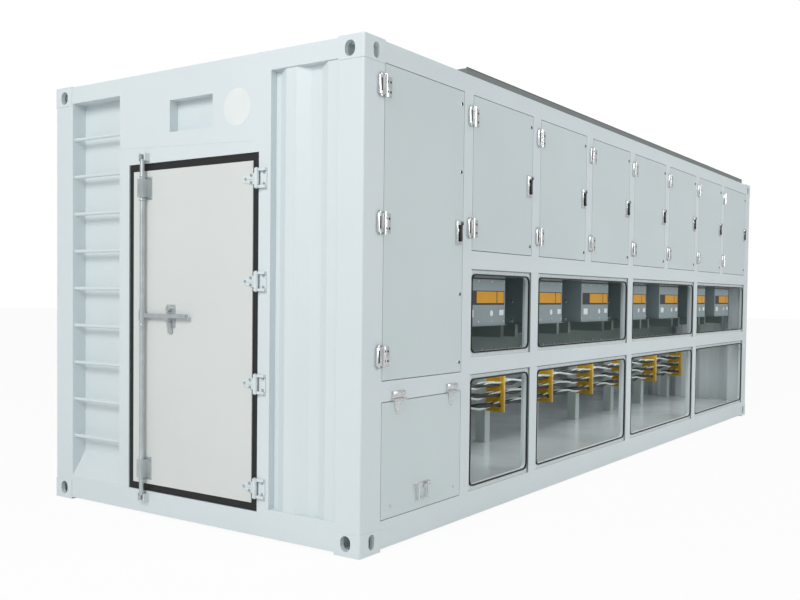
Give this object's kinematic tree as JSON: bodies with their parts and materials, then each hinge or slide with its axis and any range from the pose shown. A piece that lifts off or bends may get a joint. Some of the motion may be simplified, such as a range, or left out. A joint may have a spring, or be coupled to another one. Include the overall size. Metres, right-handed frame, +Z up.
{
  "type": "containerised generator load bank",
  "caption": "Walk-in steel container housing resistor modules with fans, busbars and windowed air intakes, with hinged service doors, lock bar and ladder end",
  "frame": {"origin": "on the ground at mid length and mid width, centre of the four bottom corner fittings", "axes": "+X along the container away from the personnel door end; +Y from the windowed side to the closed back; +Z up"},
  "size_m": [7.362, 2.461, 2.647],
  "materials": {
    "shell_paint": "satin enamel over steel",
    "floor_paint": "semi-gloss floor enamel",
    "seal_rubber": "matte black extrusion",
    "hardware_steel": "galvanised, slightly dull",
    "chrome": "polished stainless",
    "lever_plastic": "black moulded",
    "frame_paint": "satin grey enamel",
    "module_paint": "satin blue-grey enamel",
    "element_steel": "bare alloy strip",
    "board_resin": "mustard laminate",
    "busbar_sleeve": "black heat-shrink sleeve",
    "copper": "bare copper bar",
    "louvre_paint": "satin grey enamel",
    "fan_aluminium": "cast, plain"
  },
  "bodies": {
    "shell": {"corner_castings": "shell_paint", "corner_posts": "shell_paint", "bottom_frame": "shell_paint", "top_frame": "shell_paint", "floor_plate": "floor_paint", "roof_panel": "shell_paint", "back_wall": "shell_paint", "far_end_wall": "shell_paint", "door_end_frame": "shell_paint", "end_recesses": "shell_paint", "ladder_rungs": "shell_paint", "end_corrugated_panel": "shell_paint", "frame_hardware": "shell_paint", "side_frame": "shell_paint", "window_frames": "shell_paint", "window_seals": "seal_rubber", "side_hinge_leaves": "chrome", "support_frame": "frame_paint", "resistor_casings": "module_paint", "resistor_elements": "element_steel", "terminal_boxes": "module_paint", "fan_ducts": "module_paint", "insulating_boards": "board_resin", "busbars": "busbar_sleeve", "control_cabinet": "module_paint", "supply_terminals": "copper", "exhaust_coaming": "shell_paint", "exhaust_louvres": "louvre_paint"},
    "main_door": {"main_door_leaf": "shell_paint", "main_door_seal": "seal_rubber", "main_door_hinge_blades": "shell_paint", "rod_guides": "hardware_steel"},
    "lock_bar": {"lock_rod": "hardware_steel", "lock_handle": "hardware_steel"},
    "hasp": {"handle_hasp": "hardware_steel"},
    "tall_side_door": {"tall_door": "shell_paint"},
    "tall_lever": {"tall_door_lever": "lever_plastic"},
    "hatch": {"cable_hatch": "shell_paint"},
    "bail": {"hatch_bail": "chrome"},
    "upper_door_1": {"upper_door_1": "shell_paint"},
    "lever_1": {"upper_lever_1": "lever_plastic"},
    "fan_1": {"fan_rotor_1": "fan_aluminium"},
    "upper_door_2": {"upper_door_2": "shell_paint"},
    "lever_2": {"upper_lever_2": "lever_plastic"},
    "fan_2": {"fan_rotor_2": "fan_aluminium"},
    "upper_door_3": {"upper_door_3": "shell_paint"},
    "lever_3": {"upper_lever_3": "lever_plastic"},
    "fan_3": {"fan_rotor_3": "fan_aluminium"},
    "upper_door_4": {"upper_door_4": "shell_paint"},
    "lever_4": {"upper_lever_4": "lever_plastic"},
    "fan_4": {"fan_rotor_4": "fan_aluminium"},
    "upper_door_5": {"upper_door_5": "shell_paint"},
    "lever_5": {"upper_lever_5": "lever_plastic"},
    "fan_5": {"fan_rotor_5": "fan_aluminium"},
    "upper_door_6": {"upper_door_6": "shell_paint"},
    "lever_6": {"upper_lever_6": "lever_plastic"},
    "fan_6": {"fan_rotor_6": "fan_aluminium"},
    "upper_door_7": {"upper_door_7": "shell_paint"},
    "lever_7": {"upper_lever_7": "lever_plastic"},
    "fan_7": {"fan_rotor_7": "fan_aluminium"}
  },
  "joints": [
    {"name": "main_door_hinge", "type": "hinge", "parent": "shell", "child": "main_door", "pos_m": [-3.6745, -0.529, 1.1], "axis": [0, 0, 1], "range_deg": [0, 110]},
    {"name": "lock_bar_turn", "type": "hinge", "parent": "main_door", "child": "lock_bar", "pos_m": [-3.6845, 0.363, 1.1], "axis": [0, 0, -1], "range_deg": [0, 90]},
    {"name": "hasp_swing", "type": "hinge", "parent": "main_door", "child": "hasp", "pos_m": [-3.6648, 0.146, 1.1417], "axis": [1, 0, 0], "range_deg": [-60, 60]},
    {"name": "tall_door_hinge", "type": "hinge", "parent": "shell", "child": "tall_side_door", "pos_m": [-3.484, -1.228, 1.675], "axis": [0, 0, -1], "range_deg": [0, 165]},
    {"name": "tall_lever_lift", "type": "hinge", "parent": "tall_side_door", "child": "tall_lever", "pos_m": [-2.7415, -1.234, 1.7255], "axis": [-1, 0, 0], "range_deg": [0, 80]},
    {"name": "hatch_hinge", "type": "hinge", "parent": "shell", "child": "hatch", "pos_m": [-3.0845, -1.228, 0.7705], "axis": [-1, 0, 0], "range_deg": [0, 90]},
    {"name": "bail_swing", "type": "hinge", "parent": "hatch", "child": "bail", "pos_m": [-3.0975, -1.232, 0.292], "axis": [-1, 0, 0], "range_deg": [0, 90]},
    {"name": "upper_door_1_hinge", "type": "hinge", "parent": "shell", "child": "upper_door_1", "pos_m": [-2.591, -1.228, 2.028], "axis": [0, 0, -1], "range_deg": [0, 165]},
    {"name": "lever_1_lift", "type": "hinge", "parent": "upper_door_1", "child": "lever_1", "pos_m": [-1.8625, -1.234, 2.0755], "axis": [-1, 0, 0], "range_deg": [0, 80]},
    {"name": "fan_1_spin", "type": "hinge", "parent": "shell", "child": "fan_1", "pos_m": [-2.162, 0, 1.2], "axis": [0, 0, 1], "continuous": true},
    {"name": "upper_door_2_hinge", "type": "hinge", "parent": "shell", "child": "upper_door_2", "pos_m": [-1.703, -1.228, 2.028], "axis": [0, 0, -1], "range_deg": [0, 165]},
    {"name": "lever_2_lift", "type": "hinge", "parent": "upper_door_2", "child": "lever_2", "pos_m": [-0.9945, -1.234, 2.0755], "axis": [-1, 0, 0], "range_deg": [0, 80]},
    {"name": "fan_2_spin", "type": "hinge", "parent": "shell", "child": "fan_2", "pos_m": [-1.294, 0, 1.2], "axis": [0, 0, 1], "continuous": true},
    {"name": "upper_door_3_hinge", "type": "hinge", "parent": "shell", "child": "upper_door_3", "pos_m": [-0.835, -1.228, 2.028], "axis": [0, 0, -1], "range_deg": [0, 165]},
    {"name": "lever_3_lift", "type": "hinge", "parent": "upper_door_3", "child": "lever_3", "pos_m": [-0.1265, -1.234, 2.0755], "axis": [-1, 0, 0], "range_deg": [0, 80]},
    {"name": "fan_3_spin", "type": "hinge", "parent": "shell", "child": "fan_3", "pos_m": [-0.426, 0, 1.2], "axis": [0, 0, 1], "continuous": true},
    {"name": "upper_door_4_hinge", "type": "hinge", "parent": "shell", "child": "upper_door_4", "pos_m": [0.033, -1.228, 2.028], "axis": [0, 0, -1], "range_deg": [0, 165]},
    {"name": "lever_4_lift", "type": "hinge", "parent": "upper_door_4", "child": "lever_4", "pos_m": [0.7415, -1.234, 2.0755], "axis": [-1, 0, 0], "range_deg": [0, 80]},
    {"name": "fan_4_spin", "type": "hinge", "parent": "shell", "child": "fan_4", "pos_m": [0.442, 0, 1.2], "axis": [0, 0, 1], "continuous": true},
    {"name": "upper_door_5_hinge", "type": "hinge", "parent": "shell", "child": "upper_door_5", "pos_m": [0.901, -1.228, 2.028], "axis": [0, 0, -1], "range_deg": [0, 165]},
    {"name": "lever_5_lift", "type": "hinge", "parent": "upper_door_5", "child": "lever_5", "pos_m": [1.6095, -1.234, 2.0755], "axis": [-1, 0, 0], "range_deg": [0, 80]},
    {"name": "fan_5_spin", "type": "hinge", "parent": "shell", "child": "fan_5", "pos_m": [1.31, 0, 1.2], "axis": [0, 0, 1], "continuous": true},
    {"name": "upper_door_6_hinge", "type": "hinge", "parent": "shell", "child": "upper_door_6", "pos_m": [1.769, -1.228, 2.028], "axis": [0, 0, -1], "range_deg": [0, 165]},
    {"name": "lever_6_lift", "type": "hinge", "parent": "upper_door_6", "child": "lever_6", "pos_m": [2.4775, -1.234, 2.0755], "axis": [-1, 0, 0], "range_deg": [0, 80]},
    {"name": "fan_6_spin", "type": "hinge", "parent": "shell", "child": "fan_6", "pos_m": [2.178, 0, 1.2], "axis": [0, 0, 1], "continuous": true},
    {"name": "upper_door_7_hinge", "type": "hinge", "parent": "shell", "child": "upper_door_7", "pos_m": [2.637, -1.228, 2.028], "axis": [0, 0, -1], "range_deg": [0, 165]},
    {"name": "lever_7_lift", "type": "hinge", "parent": "upper_door_7", "child": "lever_7", "pos_m": [3.4275, -1.234, 2.0755], "axis": [-1, 0, 0], "range_deg": [0, 80]},
    {"name": "fan_7_spin", "type": "hinge", "parent": "shell", "child": "fan_7", "pos_m": [3.046, 0, 1.2], "axis": [0, 0, 1], "continuous": true}
  ]
}
